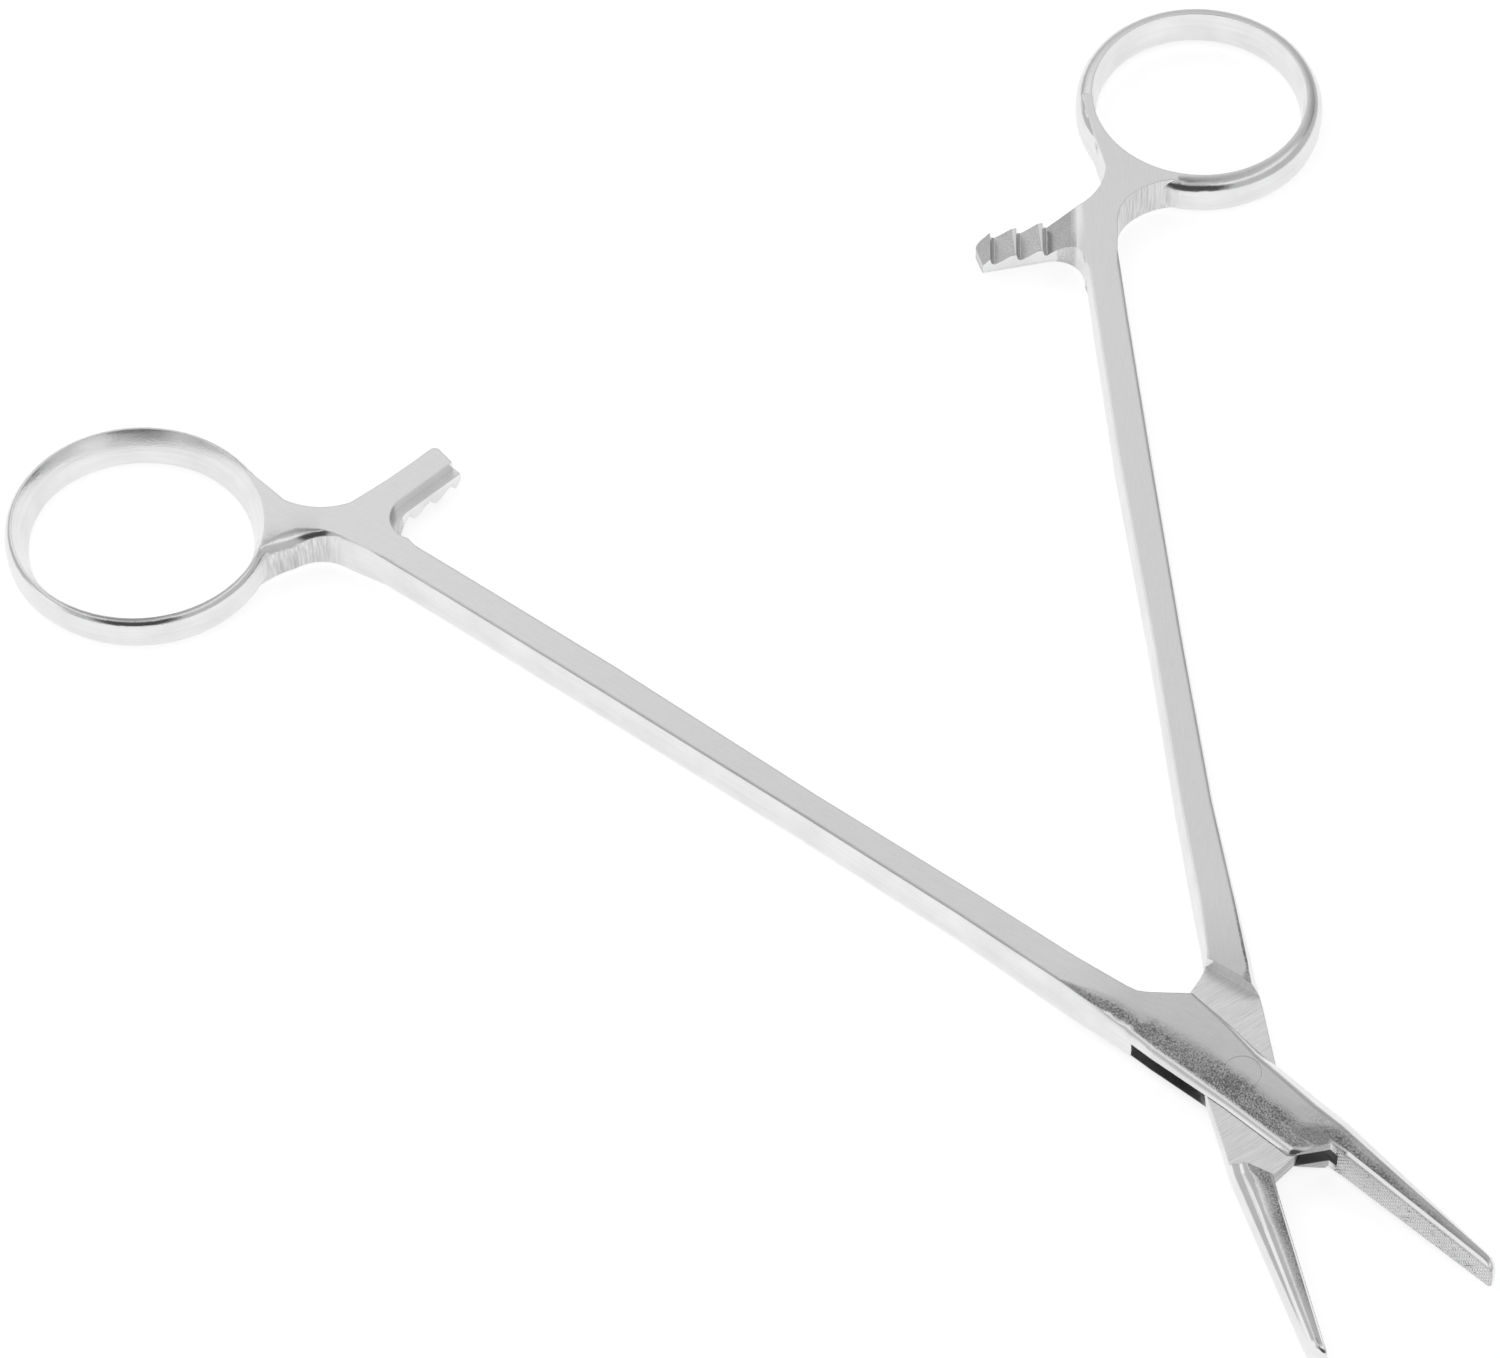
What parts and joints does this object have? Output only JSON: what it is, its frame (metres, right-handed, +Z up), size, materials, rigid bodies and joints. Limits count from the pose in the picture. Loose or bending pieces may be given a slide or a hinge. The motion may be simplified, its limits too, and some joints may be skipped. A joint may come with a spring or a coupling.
{
  "type": "surgical needle holder",
  "caption": "Straight box-lock needle holder with oval finger rings, a ratchet between the shanks and short cross-serrated jaws, lying open.",
  "frame": {"origin": "on the hinge axis, at the underside of the box lock, which is the plane the instrument lies on", "axes": "+Z up along the hinge axis; +X from the pivot along the line midway between the jaws, so the finger rings lie on -X; +Y completes the right-handed frame, with the box half's ring on -Y"},
  "size_m": [0.1643, 0.1612, 0.0053],
  "materials": {
    "satin_steel": "fine satin flats with polished rounded edges",
    "rivet_steel": "ground flush with the box, fine satin"
  },
  "bodies": {
    "box_side": {"box_half": "satin_steel", "rivet": "rivet_steel"},
    "tongue_side": {"tongue_half": "satin_steel"}
  },
  "joints": [
    {"name": "box_lock", "type": "hinge", "parent": "box_side", "child": "tongue_side", "pos_m": [0, 0, 0.00265], "axis": [0, 0, 1], "range_deg": [-15, 33]}
  ]
}
